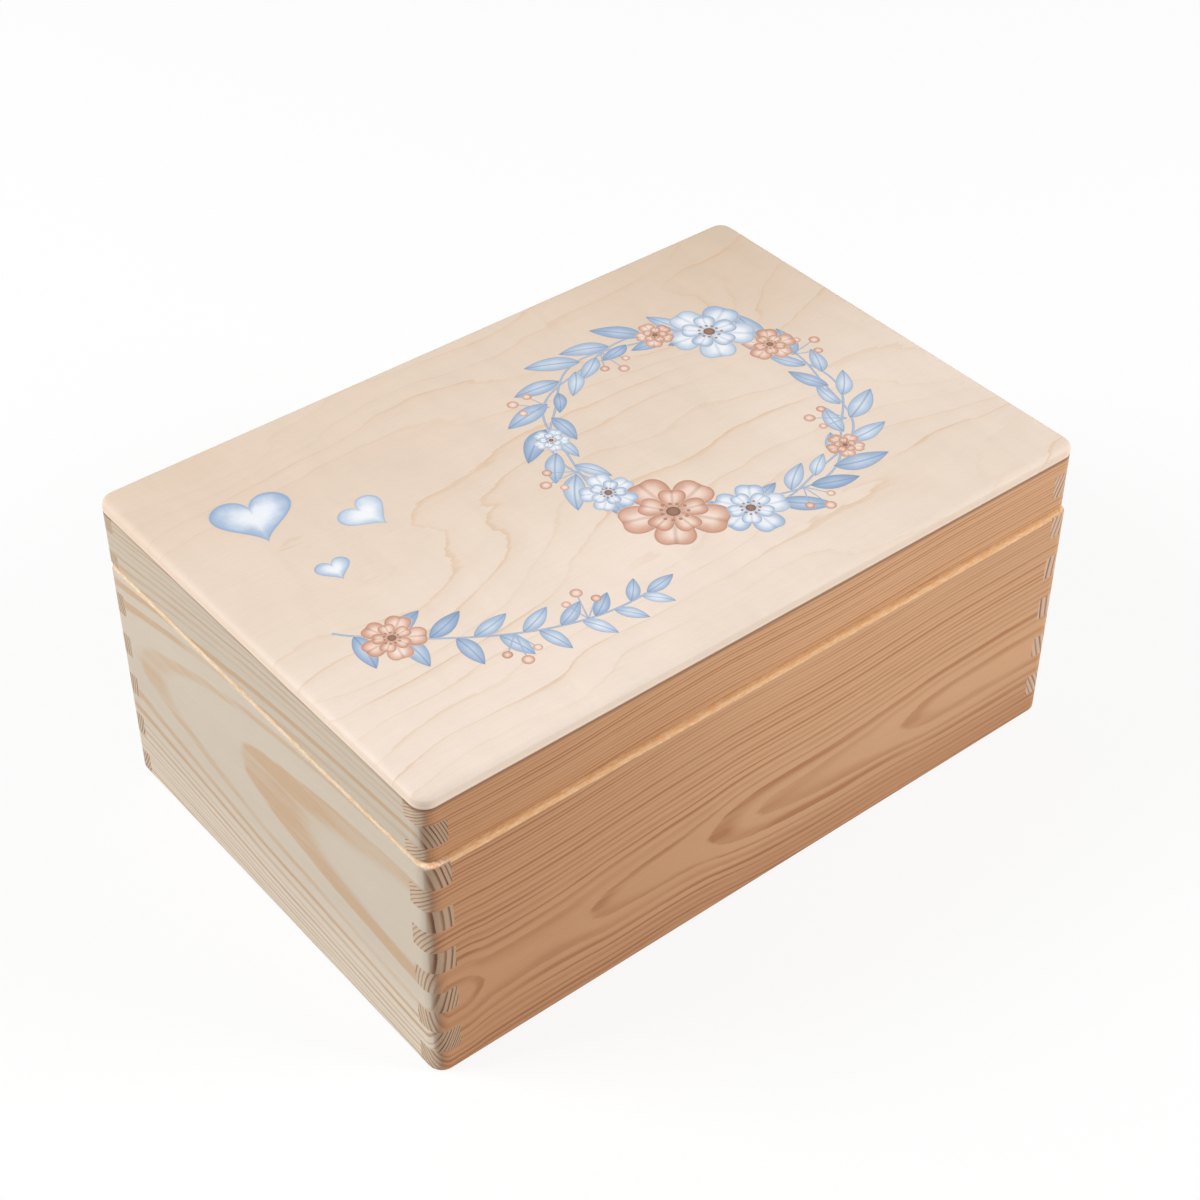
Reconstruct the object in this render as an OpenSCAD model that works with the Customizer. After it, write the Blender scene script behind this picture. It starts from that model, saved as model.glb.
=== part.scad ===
// Hinged keepsake box. Ten-millimetre softwood boards meet in finger joints at
// the corners. The glued-up box was sawn through to free the lid, so the
// fingers carry on across the seam. A plywood panel closes the top of the lid,
// another sits in a groove as the bottom, and two small butt hinges let into
// the back edges carry the lid.
//
// Millimetres, +Z up, front towards -Y. The origin is at the middle of the
// whole object's bounding box, on the surface that it stands on.

/* [Box] */
// Width of the box, left to right
box_w = 300; // [200:5:400]
// Depth of the box, front to back
box_d = 200; // [140:5:300]
// Height of the base, up to the seam
base_h = 101.8; // [90:0.1:140]
// Height of the lid's rails, without the plywood
rail_h = 23.5; // [20:0.1:40]
// Thickness of the boards and rails
board_t = 10; // [8:0.5:14]
// Gap at the seam between base and lid
seam_gap = 0.5; // [0.3:0.1:1]
// How far the lid sits back from the base's front
lid_setback = 2.5; // [0:0.1:3]
// How far the lid sits to the right of the base's left side
lid_shift = 1.2; // [0:0.1:2]

/* [Finger joints] */
// Height of one finger
finger_h = 10.1; // [8:0.05:11]
// Height of the lid's lowest finger, which the saw cut short
lid_first_finger_h = 6.2; // [4:0.1:9]

/* [Panels] */
// Thickness of the plywood on top of the lid
top_t = 5; // [4:0.5:6]
// Thickness of the plywood bottom
bottom_t = 3; // [3:0.5:5]
// Height of the bottom's groove above the surface that the box stands on
groove_z = 5; // [4:0.5:8]
// Depth of that groove
groove_depth = 4; // [3:0.5:5]

/* [Rounding] */
// Radius of the four upright corners
corner_r = 6; // [4:0.5:9]
// Rounding of the base's lower arris
foot_r = 1.6; // [0.5:0.1:2.5]
// Rounding of the base's upper arris
rim_r = 1.4; // [0.5:0.1:2.5]
// Rounding of the lid's lower arris
lid_rim_r = 0.6; // [0.3:0.1:1.5]
// Rounding of the arrises where the plywood meets the lid's rails
joint_r = 0.5; // [0.2:0.1:0.8]
// Rounding of the plywood's upper arris
top_r = 3; // [0.5:0.1:3.5]

/* [Hinges] */
// Length of a hinge along the back
hinge_l = 30; // [24:1:50]
// Distance from a side of the box to the middle of its hinge
hinge_inset = 58; // [40:1:70]
// Width of a leaf, from the pin's axis to its free edge
leaf_w = 11.5; // [11:0.1:12]
// Thickness of a leaf
leaf_t = 1; // [0.8:0.1:1.2]
// Gap between the two closed leaves
leaf_gap = 0.3; // [0.3:0.05:0.4]
// Outer radius of a knuckle
knuckle_r = 2; // [1.8:0.1:2.2]
// Number of knuckles in a hinge
knuckles = 5; // [3:2:7]
// Gap between neighbouring knuckles
knuckle_gap = 0.3; // [0.3:0.1:0.5]
// Radius of the pin
pin_r = 1; // [0.8:0.1:1.1]
// Running clearance round the pin in the lid's knuckles
pin_clear = 0.05; // [0.03:0.01:0.08]

/* [Screws] */
// Distance between the two screws of a leaf
screw_spacing = 17; // [14:1:20]
// Distance from the pin's axis to the screws
screw_y = 7.3; // [7:0.1:8]
// Radius of a screw's shank
screw_r = 1; // [0.8:0.1:1.2]
// Radius of a countersunk head
head_r = 1.9; // [1.6:0.1:2]
// Length of a screw under the top of its head
screw_l = 8; // [6:0.5:9]
// Width of the driver slot
slot_w = 0.5; // [0.4:0.05:0.6]

/* [Hidden] */

$fn = 64;
// Overlap that makes a cut run clear of a face
eps = 1;
// Gap between the barrel and the back of the lid
barrel_gap = 0.3;

// Front left corner of the lid's rails, from that of the base
lid_x = lid_shift;
lid_y = lid_setback;
lid_z = base_h + seam_gap;

// The pin's axis lies in the seam, just behind the lid
axis_y = lid_y + box_d + barrel_gap + knuckle_r;
axis_z = base_h + seam_gap / 2;
hinge_x = [hinge_inset, box_w - hinge_inset];
knuckle_l = (hinge_l - (knuckles - 1) * knuckle_gap) / knuckles;
knuckle_pitch = knuckle_l + knuckle_gap;

// From the front left corner of the base to the middle of the bounding box
centre = [-(lid_x + box_w) / 2, -(axis_y + knuckle_r) / 2, 0];

// Finger boundaries from the bottom up. The lowest finger of the base takes up
// what the others leave, and the top finger of the lid does the same there.
base_fingers = 10;
base_levels = concat(
  [0],
  [for (k = [1:base_fingers]) base_h - (base_fingers - k) * finger_h]
);
lid_levels = [0, lid_first_finger_h, lid_first_finger_h + finger_h, rail_h];

pine = [0.84, 0.70, 0.53];
pine_pale = [0.88, 0.80, 0.67];
birch = [0.92, 0.85, 0.74];
brass = [0.72, 0.58, 0.32];
steel = [0.62, 0.62, 0.62];

/* ---- shapes ---- */

// Half of an edge profile: a bar from x = 0 to x = w, z = 0 to z = h, whose
// outer edges are rounded by r0 at the bottom and r1 at the top.
module rounded_end_profile(w, h, r0, r1) {
  square([w - max(r0, r1), h]);
  translate([0, r0]) square([w, h - r0 - r1]);
  if (r0 > 0) {
    translate([w - r0, r0]) circle(r0);
    square([w - r0, r0]);
  }
  if (r1 > 0) {
    translate([w - r1, h - r1]) circle(r1);
    translate([0, h - r1]) square([w - r1, r1]);
  }
}

// A bar from x = 0 to x = w with both of its outer sides rounded so
module rounded_bar_profile(w, h, r0, r1) {
  translate([w / 2, 0]) {
    rounded_end_profile(w / 2, h, r0, r1);
    mirror([1, 0]) rounded_end_profile(w / 2, h, r0, r1);
  }
}

// Outer form of a box part: upright corners of radius corner_r, lower arris
// rounded by r0 and upper arris by r1.
module box_form(w, d, h, r0, r1) {
  for (x = [corner_r, w - corner_r], y = [corner_r, d - corner_r])
    translate([x, y, 0])
      rotate_extrude() rounded_end_profile(corner_r, h, r0, r1);
  translate([corner_r, 0, 0])
    rotate([90, 0, 90])
      linear_extrude(w - 2 * corner_r) rounded_bar_profile(d, h, r0, r1);
  translate([0, d - corner_r, 0])
    rotate([90, 0, 0])
      linear_extrude(d - 2 * corner_r) rounded_bar_profile(w, h, r0, r1);
}

// Outline of a board of length l whose fingers reach the full length at every
// second level, starting with level `first` (0 or 1).
module finger_outline(l, levels, first) {
  top = levels[len(levels) - 1];
  translate([board_t, 0]) square([l - 2 * board_t, top]);
  for (k = [first:2:len(levels) - 2])
    translate([0, levels[k]]) square([l, levels[k + 1] - levels[k]]);
}

// A front or back board, which lies along X, with its outer or inner face at y
module long_board(l, levels, y) {
  translate([0, y + board_t, 0])
    rotate([90, 0, 0]) linear_extrude(board_t) finger_outline(l, levels, 0);
}

// A side board, which lies along Y, with one face at x
module short_board(l, levels, x) {
  translate([x, 0, 0])
    rotate([90, 0, 90]) linear_extrude(board_t) finger_outline(l, levels, 1);
}

/* ---- places ---- */

module in_base() {
  translate(centre) children();
}

module in_lid() {
  translate(centre + [lid_x, lid_y, lid_z]) children();
}

// At the middle of a hinge's pin: side 0 is the left hinge, side 1 the right
module at_hinge(side) {
  translate(centre + [hinge_x[side], axis_y, axis_z]) children();
}

// Flips a base leaf or its screws over into those of the lid
module over_to_lid() {
  mirror([0, 0, 1]) children();
}

/* ---- base ---- */

module bottom_sheet() {
  edge = board_t - groove_depth;
  translate([edge, edge, groove_z])
    cube([box_w - 2 * edge, box_d - 2 * edge, bottom_t]);
}

module base_board(long_side, at) {
  in_base() difference() {
    intersection() {
      box_form(box_w, box_d, base_h, foot_r, rim_r);
      if (long_side) long_board(box_w, base_levels, at);
      else short_board(box_d, base_levels, at);
    }
    bottom_sheet();
  }
}

module base_front_board() {
  color(pine) base_board(true, 0);
}

module base_back_board() {
  color(pine) difference() {
    base_board(true, box_d - board_t);
    for (side = [0, 1]) at_hinge(side) {
      leaf_seat();
      pilot_holes();
    }
  }
}

module base_left_board() {
  color(pine_pale) base_board(false, 0);
}

module base_right_board() {
  color(pine_pale) base_board(false, box_w - board_t);
}

module base_bottom_panel() {
  color(birch) in_base() bottom_sheet();
}

/* ---- lid ---- */

module lid_rail(long_side, at) {
  in_lid() intersection() {
    box_form(box_w, box_d, rail_h, lid_rim_r, joint_r);
    if (long_side) long_board(box_w, lid_levels, at);
    else short_board(box_d, lid_levels, at);
  }
}

module lid_front_rail() {
  color(pine) lid_rail(true, 0);
}

module lid_back_rail() {
  color(pine) difference() {
    lid_rail(true, box_d - board_t);
    for (side = [0, 1]) at_hinge(side) over_to_lid() {
      leaf_seat();
      pilot_holes();
    }
  }
}

module lid_left_rail() {
  color(pine_pale) lid_rail(false, 0);
}

module lid_right_rail() {
  color(pine_pale) lid_rail(false, box_w - board_t);
}

// Where two thicker forms overlap, because the upper rounding takes up more
// than half of the plywood's thickness
module lid_top_panel() {
  color(birch) in_lid() translate([0, 0, rail_h]) intersection() {
    box_form(box_w, box_d, 2 * top_t, joint_r, 0);
    translate([0, 0, -top_t]) box_form(box_w, box_d, 2 * top_t, 0, top_r);
  }
}

/* ---- hinges, drawn about the pin's axis as the leaf of the base ---- */

// The shallow mortise that a leaf is let into
module leaf_seat() {
  translate([-hinge_l / 2, -leaf_w, -leaf_gap / 2 - leaf_t])
    cube([hinge_l, leaf_w, leaf_t + leaf_gap]);
}

// Places what belongs to each knuckle of one leaf: first is 0 for the leaf
// that has the outermost knuckles and 1 for the other.
module each_knuckle(first) {
  for (k = [first:2:knuckles - 1])
    translate([-hinge_l / 2 + k * knuckle_pitch, 0, 0])
      rotate([90, 0, 90]) children();
}

module each_screw() {
  for (x = [-1, 1])
    translate([x * screw_spacing / 2, -screw_y, -leaf_gap / 2]) children();
}

module leaf(first, bore_r) {
  difference() {
    union() {
      translate([-hinge_l / 2, -leaf_w, -leaf_gap / 2 - leaf_t])
        cube([hinge_l, leaf_w - knuckle_r - barrel_gap, leaf_t]);
      each_knuckle(first) linear_extrude(knuckle_l) knuckle_outline();
    }
    translate([-hinge_l / 2 - eps, 0, 0])
      rotate([0, 90, 0]) cylinder(r = bore_r, h = hinge_l + 2 * eps);
    each_screw() screw_head();
    each_screw() screw_shank();
  }
}

// End view of a knuckle and of the strap that joins it to its leaf
module knuckle_outline() {
  circle(knuckle_r);
  translate([-knuckle_r - barrel_gap, -leaf_gap / 2 - leaf_t])
    square([knuckle_r + barrel_gap, leaf_t]);
}

module pin() {
  translate([-hinge_l / 2, 0, 0])
    rotate([0, 90, 0]) cylinder(r = pin_r, h = hinge_l);
}

/* ---- screws, drawn head up with the top of the head at z = 0 ---- */

module screw_head() {
  head_h = head_r - screw_r;
  translate([0, 0, -head_h]) cylinder(r1 = screw_r, r2 = head_r, h = head_h);
}

module screw_shank() {
  point_h = 2;
  point_r = 0.2;
  translate([0, 0, point_h - screw_l])
    cylinder(r = screw_r, h = screw_l - point_h);
  translate([0, 0, -screw_l])
    cylinder(r1 = point_r, r2 = screw_r, h = point_h);
}

module pilot_holes() {
  each_screw() screw_shank();
}

module screws() {
  slot_depth = 0.5;
  each_screw() difference() {
    union() {
      screw_head();
      screw_shank();
    }
    translate([-head_r - eps, -slot_w / 2, -slot_depth])
      cube([2 * (head_r + eps), slot_w, slot_depth + eps]);
  }
}

/* ---- the two hinges ---- */

module base_leaf(side) {
  color(brass) at_hinge(side) leaf(0, pin_r);
}

module lid_leaf(side) {
  color(brass) at_hinge(side) over_to_lid() leaf(1, pin_r + pin_clear);
}

module hinge_pin(side) {
  color(steel) at_hinge(side) pin();
}

module base_screws(side) {
  color(brass) at_hinge(side) screws();
}

module lid_screws(side) {
  color(brass) at_hinge(side) over_to_lid() screws();
}

base_front_board();
base_back_board();
base_left_board();
base_right_board();
base_bottom_panel();
lid_front_rail();
lid_back_rail();
lid_left_rail();
lid_right_rail();
lid_top_panel();
base_leaf(0);  // left_hinge_base_leaf
lid_leaf(0);  // left_hinge_lid_leaf
hinge_pin(0);  // left_hinge_pin
base_leaf(1);  // right_hinge_base_leaf
lid_leaf(1);  // right_hinge_lid_leaf
hinge_pin(1);  // right_hinge_pin
base_screws(0);  // left_hinge_base_screws
lid_screws(0);  // left_hinge_lid_screws
base_screws(1);  // right_hinge_base_screws
lid_screws(1);  // right_hinge_lid_screws
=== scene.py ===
"""Keepsake box of bare softwood with a plywood lid, dressed for rendering.

The boards, rails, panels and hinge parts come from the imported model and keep
its shapes. This script gives every one of them a procedural finish, eases
their arrises, prints a wreath of flowers and leaves on the lid, and sets up a
plain studio. Lengths are metres unless a name ends in _mm or the text says
millimetres.
"""
import logging
import math
import random
from dataclasses import dataclass, field
from enum import Enum
from typing import Callable, Sequence

import bmesh
import bpy
from mathutils import Matrix, Vector


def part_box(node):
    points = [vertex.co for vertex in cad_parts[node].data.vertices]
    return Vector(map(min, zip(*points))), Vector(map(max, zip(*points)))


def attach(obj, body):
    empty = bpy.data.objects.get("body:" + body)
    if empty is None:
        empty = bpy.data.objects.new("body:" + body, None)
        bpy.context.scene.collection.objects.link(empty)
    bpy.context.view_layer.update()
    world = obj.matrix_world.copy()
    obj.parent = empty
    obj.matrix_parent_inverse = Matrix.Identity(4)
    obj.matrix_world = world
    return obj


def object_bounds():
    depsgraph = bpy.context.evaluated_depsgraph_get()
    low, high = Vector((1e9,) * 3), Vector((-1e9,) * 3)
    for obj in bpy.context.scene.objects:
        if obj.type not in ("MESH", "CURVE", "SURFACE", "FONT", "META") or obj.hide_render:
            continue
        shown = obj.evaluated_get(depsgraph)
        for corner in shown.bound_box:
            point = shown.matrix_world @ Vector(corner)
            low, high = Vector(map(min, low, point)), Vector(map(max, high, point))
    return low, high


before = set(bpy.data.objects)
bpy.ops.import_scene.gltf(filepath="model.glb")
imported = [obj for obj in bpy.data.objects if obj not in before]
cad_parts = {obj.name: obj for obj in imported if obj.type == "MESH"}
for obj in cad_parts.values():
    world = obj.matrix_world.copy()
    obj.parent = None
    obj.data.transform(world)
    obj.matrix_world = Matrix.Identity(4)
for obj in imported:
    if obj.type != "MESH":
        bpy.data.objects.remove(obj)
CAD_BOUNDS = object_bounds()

log = logging.getLogger("keepsake_box")

Colour = tuple[float, float, float]
Point = tuple[float, float]
Curve = Sequence[Point]

MM = 0.001
PER_MM = 1000.0
UNIT = (0.0, 1.0)
MARKS = ("inset", "beside", "tint")
NOWHERE_MM = 1000.0
BOX_HEIGHT_MM = CAD_BOUNDS[1][2] * PER_MM
WHITE = (1.0, 1.0, 1.0)
# Dark brown of glue, also used as painted shade in grooves, along rounded corners and under the lid's seam.
GLUE_AND_SHADE_COLOUR = (0.235, 0.115, 0.058)
WOOD_SPECULAR = 0.35
METAL_SPECULAR = 0.5

# Steps of the sines that give each ring its own width and force, in radians.
RING_STRIDE = 2.4
FORCE_STRIDE = 1.9

# How far a normal points along an axis where a look begins, and where it is full.
END_FACING = (0.45, 0.8)
LEDGE_FACING = (0.8, 0.97)

# How far a normal points up where a panel's edge shows in full, and where it is gone.
EDGE_FACING = (0.25, 0.7)

# How far a normal points aside at the start, the middle and the end of a corner's dark line, a late-wood
# line that is partly painted shade.
CORNER_FACING = (0.42, 0.62, 0.85)

# Millimetres beyond the saw cut between which the dark line along it comes and goes, a painted shadow of
# the gap under the lid.
SEAM_DARKENS = (-0.6, -0.15)
SEAM_CLEARS = (0.02, 0.1)

# How much of a freshly sawn face, and of a sawn end, is covered by the fresh colour.
FRESH_COVER = (0.92, 0.7)


def opaque(colour: Colour) -> tuple[float, float, float, float]:
    """Returns the colour with a full alpha, as Blender's sockets want it."""
    return (*colour, 1.0)


def corners(box: Sequence[Sequence[float]]) -> tuple[Vector, Vector]:
    """Returns the lowest and the highest corner of a box as vectors."""
    lowest, highest = box
    return Vector(lowest), Vector(highest)


def polar(middle: Point, radius: float, angle: float) -> Point:
    """Returns the place at an angle and a distance from a middle."""
    return (middle[0] + radius * math.cos(angle), middle[1] + radius * math.sin(angle))


def add_object(name: str, data: bpy.types.ID) -> bpy.types.Object:
    """Makes an object and puts it in the scene.

    Args:
        name: The object's name.
        data: Its mesh, lamp or camera.

    Returns:
        The object.
    """
    made = bpy.data.objects.new(name, data)
    bpy.context.scene.collection.objects.link(made)
    return made


# ---------------------------------------------------------------- node graphs


class Wire:
    """A number, vector, colour or shader that comes out of a node.

    Arithmetic on a number adds the Math nodes that work it out.
    """

    def __init__(self, graph: "Graph", socket: bpy.types.NodeSocket) -> None:
        """Takes the graph, and the output socket that the value comes from."""
        self.graph = graph
        self.socket = socket

    def __add__(self, other: object) -> "Wire":
        """Returns this number plus another."""
        return self.graph.math("ADD", self, other)

    def __sub__(self, other: object) -> "Wire":
        """Returns this number less another."""
        return self.graph.math("SUBTRACT", self, other)

    def __rsub__(self, other: object) -> "Wire":
        """Returns another number less this one."""
        return self.graph.math("SUBTRACT", other, self)

    def __mul__(self, other: object) -> "Wire":
        """Returns this number times another."""
        return self.graph.math("MULTIPLY", self, other)

    def __truediv__(self, other: object) -> "Wire":
        """Returns this number divided by another."""
        return self.graph.math("DIVIDE", self, other)

    def __abs__(self) -> "Wire":
        """Returns this number without its sign."""
        return self.graph.math("ABSOLUTE", self)

    def step(self, low: object, high: object, to_low: object = 0.0, to_high: object = 1.0) -> "Wire":
        """Eases this number from to_low at low to to_high at high, and clamps it.

        Args:
            low: Where the ramp starts.
            high: Where it ends.
            to_low: The result up to low.
            to_high: The result from high on.

        Returns:
            The eased value.
        """
        return self.graph.made("MapRange", self, low, high, to_low, to_high,
                               interpolation_type="SMOOTHSTEP", clamp=True)

    def linear(self, source: Sequence[object], target: Sequence[object]) -> "Wire":
        """Maps this number from one span of numbers to another."""
        return self.graph.made("MapRange", self, *source, *target, clamp=False)

    def spread(self, low: object, high: object) -> "Wire":
        """Maps this number from the span of 0 to 1 to that of low to high."""
        return self.linear(UNIT, (low, high))

    def varied(self, factor: "Wire", low: float, high: float) -> "Wire":
        """Returns this colour, times a gain from low to high that follows a factor."""
        return self.graph.scaled(self, factor.spread(low, high))

    def lot(self, stride: float, phase: object) -> "Wire":
        """Returns a value from 0 to 1 that jumps about from one whole number to the next.

        Args:
            stride: The angle, in radians, that a step of one adds.
            phase: The angle at zero.

        Returns:
            The value that belongs to this whole number.
        """
        return self.graph.math("SINE", self * stride + phase) * 0.5 + 0.5

    def curve(self, span: Point, points: Curve, reach: Point) -> "Wire":
        """Reads a smooth curve through a few points at this number.

        Args:
            span: The lowest and highest place that the curve covers.
            points: The curve's points, each a place and a value.
            reach: The lowest and highest value that it may take.

        Returns:
            The curve's value there.
        """
        node = self.graph.add("FloatCurve")
        drawn = node.mapping.curves[0].points
        while len(drawn) < len(points):
            drawn.new(0.5, 0.5)
        for knot, (place, height) in zip(drawn, points):
            knot.location = ((place - span[0]) / (span[1] - span[0]),
                             (height - reach[0]) / (reach[1] - reach[0]))
        node.mapping.update()
        self.graph.feed(node.inputs["Value"], self.linear(span, UNIT))
        return Wire(self.graph, node.outputs[0]).linear(UNIT, reach)


Wires = dict[str, Wire]


class Graph:
    """Adds nodes to one node tree and wires them together."""

    def __init__(self, tree: bpy.types.NodeTree) -> None:
        """Takes the tree that the nodes go into."""
        self.tree = tree

    def add(self, kind: str, **settings: object) -> bpy.types.Node:
        """Adds a node.

        Args:
            kind: The node's type, without the word ShaderNode.
            **settings: Values for the node's own properties.

        Returns:
            The new node.
        """
        node = self.tree.nodes.new("ShaderNode" + kind)
        for name, value in settings.items():
            setattr(node, name, value)
        return node

    def feed(self, socket: bpy.types.NodeSocket, source: object) -> None:
        """Wires an input socket, or sets it to a plain value.

        Args:
            socket: The input socket.
            source: A wire, a number, a vector or a colour.
        """
        if isinstance(source, Wire):
            self.tree.links.new(source.socket, socket)
        elif socket.type == "RGBA":
            socket.default_value = opaque(source)
        else:
            socket.default_value = source

    def made(self, kind: str, *terms: object, **settings: object) -> Wire:
        """Adds a node and feeds its inputs.

        Args:
            kind: The node's type, without the word ShaderNode.
            *terms: What goes into its inputs, in their order.
            **settings: Values for the node's own properties.

        Returns:
            The node's first output.
        """
        node = self.add(kind, **settings)
        for socket, term in zip(node.inputs, terms):
            self.feed(socket, term)
        return Wire(self, node.outputs[0])

    def math(self, operation: str, *terms: object, clamp: bool = False) -> Wire:
        """Returns the number that a Math node makes of its terms."""
        return self.made("Math", *terms, operation=operation, use_clamp=clamp)

    def vector(self, operation: str, *terms: object) -> Wire:
        """Returns the vector that a Vector Math node makes of its terms."""
        return self.made("VectorMath", *terms, operation=operation)

    def combine(self, x: object, y: object, z: object) -> Wire:
        """Returns the vector of three numbers."""
        return self.made("CombineXYZ", x, y, z)

    def separate(self, vector: Wire) -> tuple[Wire, ...]:
        """Takes a vector apart.

        Args:
            vector: The vector.

        Returns:
            Its three components.
        """
        node = self.add("SeparateXYZ")
        self.feed(node.inputs[0], vector)
        return tuple(Wire(self, socket) for socket in node.outputs)

    def noise(self, vector: Wire, stretch: tuple[float, float, float], detail: float = 2.0,
              roughness: float = 0.5, distortion: float = 0.0) -> Wire:
        """Returns a noise from 0 to 1.

        Args:
            vector: The place where it is read, in millimetres.
            stretch: Cycles of the noise per millimetre along each axis.
            detail: How many finer octaves it has.
            roughness: How strong they are.
            distortion: How much it is swirled.

        Returns:
            The noise's factor.
        """
        node = self.add("TexNoise", noise_dimensions="3D")
        for name, term in (("Vector", self.vector("MULTIPLY", vector, stretch)), ("Scale", 1.0),
                           ("Detail", detail), ("Roughness", roughness), ("Distortion", distortion)):
            self.feed(node.inputs[name], term)
        return Wire(self, node.outputs["Fac"])

    def mix(self, factor: object, first: object, second: object) -> Wire:
        """Blends two colours.

        Args:
            factor: How much of the second there is.
            first: The colour at a factor of 0.
            second: The colour at a factor of 1.

        Returns:
            The blended colour.
        """
        node = self.add("Mix", data_type="RGBA")
        colours = [socket for socket in node.inputs if socket.type == "RGBA"]
        for socket, source in zip((node.inputs[0], *colours), (factor, first, second)):
            self.feed(socket, source)
        return Wire(self, next(socket for socket in node.outputs if socket.type == "RGBA"))

    def scaled(self, colour: object, gain: object) -> Wire:
        """Multiplies a colour or a vector by a number.

        Args:
            colour: The colour or the vector.
            gain: The number.

        Returns:
            Their product.
        """
        node = self.add("VectorMath", operation="SCALE")
        self.feed(node.inputs[0], colour)
        self.feed(node.inputs["Scale"], gain)
        return Wire(self, node.outputs[0])

    def seen(self) -> Wire:
        """Returns 1 where the camera or a mirror image looks, and 0 for other light."""
        path = self.add("LightPath").outputs
        return self.math("MAXIMUM", *(Wire(self, path[ray]) for ray in ("Is Camera Ray", "Is Glossy Ray")))


class Surface(Graph):
    """A new material with a Principled BSDF, and the graph of its nodes."""

    def __init__(self, name: str) -> None:
        """Makes the material of that name."""
        self.material = bpy.data.materials.new(name)
        self.material.use_nodes = True
        self.material.node_tree.nodes.clear()
        super().__init__(self.material.node_tree)
        self.shader = self.add("BsdfPrincipled")
        self.output = self.add("OutputMaterial")
        self.show(Wire(self, self.shader.outputs[0]))

    def show(self, shader: Wire) -> None:
        """Makes a shader the one that the material shows."""
        self.feed(self.output.inputs["Surface"], shader)

    def coordinate(self, name: str) -> Wire:
        """Returns the place on the object, or its normal, from the coordinates of that name."""
        return Wire(self, self.add("TexCoord").outputs[name])

    def place_from(self, corner: Vector) -> Wire:
        """Returns the place on the object, in millimetres from a corner given in metres."""
        return self.scaled(self.vector("SUBTRACT", self.coordinate("Object"), tuple(corner)), PER_MM)

    def coat(self, colour: Wire, roughness: Wire, specular: float, metallic: float = 0.0) -> None:
        """Sets what the surface looks like.

        Args:
            colour: Its base colour.
            roughness: Its roughness.
            specular: Its specular level.
            metallic: 1 for metal.
        """
        for name, source in (("Base Color", colour), ("Roughness", roughness),
                             ("Specular IOR Level", specular), ("Metallic", metallic)):
            self.feed(self.shader.inputs[name], source)

    def emboss(self, height: Wire, distance: float, strength: float) -> bpy.types.Material:
        """Adds a bump to the shader.

        Args:
            height: The height, from about 0 to 1.
            distance: What a height of 1 stands for, in metres.
            strength: The strength of the bump, from 0 to 1.

        Returns:
            The finished material.
        """
        bump = self.add("Bump")
        for name, source in (("Strength", strength), ("Distance", distance), ("Height", height)):
            self.feed(bump.inputs[name], source)
        self.feed(self.shader.inputs["Normal"], Wire(self, bump.outputs[0]))
        return self.material


class Effect:
    """A shader node group that several materials share."""

    def __init__(self, name: str, build: Callable[[Graph, Wires], Wires], vectors: Sequence[str],
                 numbers: Sequence[str], colours: Sequence[str], outputs: Sequence[str]) -> None:
        """Builds the group.

        Args:
            name: The group's name.
            build: A function that wires the inside and returns the outputs.
            vectors: The names of its vector inputs.
            numbers: The names of its number inputs.
            colours: The names of its colour inputs.
            outputs: The names of its outputs. The one called Colour is a colour.
        """
        self.tree = bpy.data.node_groups.new(name, "ShaderNodeTree")
        for kind, sockets in (("Vector", vectors), ("Float", numbers), ("Color", colours)):
            for socket in sockets:
                self.tree.interface.new_socket(socket, in_out="INPUT", socket_type="NodeSocket" + kind)
        for socket in outputs:
            kind = "Color" if socket == "Colour" else "Float"
            self.tree.interface.new_socket(socket, in_out="OUTPUT", socket_type="NodeSocket" + kind)
        graph = Graph(self.tree)
        entry = self.tree.nodes.new("NodeGroupInput")
        leave = self.tree.nodes.new("NodeGroupOutput")
        given = {socket.name: Wire(graph, socket) for socket in entry.outputs if socket.name}
        for socket, source in build(graph, given).items():
            graph.feed(leave.inputs[socket], source)

    def place(self, graph: Graph, finish: object, **values: object) -> Wires:
        """Puts the group into a material.

        Args:
            graph: The material's graph.
            finish: The finish. An input that isn't among the values takes its
                field of the same name.
            **values: The other inputs, in small letters, with underscores for spaces.

        Returns:
            The outputs of the group in that material, by name.
        """
        node = graph.add("Group", node_tree=self.tree)
        for socket in node.inputs:
            word = socket.name.lower().replace(" ", "_")
            graph.feed(socket, values[word] if word in values else getattr(finish, word))
        return {socket.name: Wire(graph, socket) for socket in node.outputs}


# -------------------------------------------------------------------- effects


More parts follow.
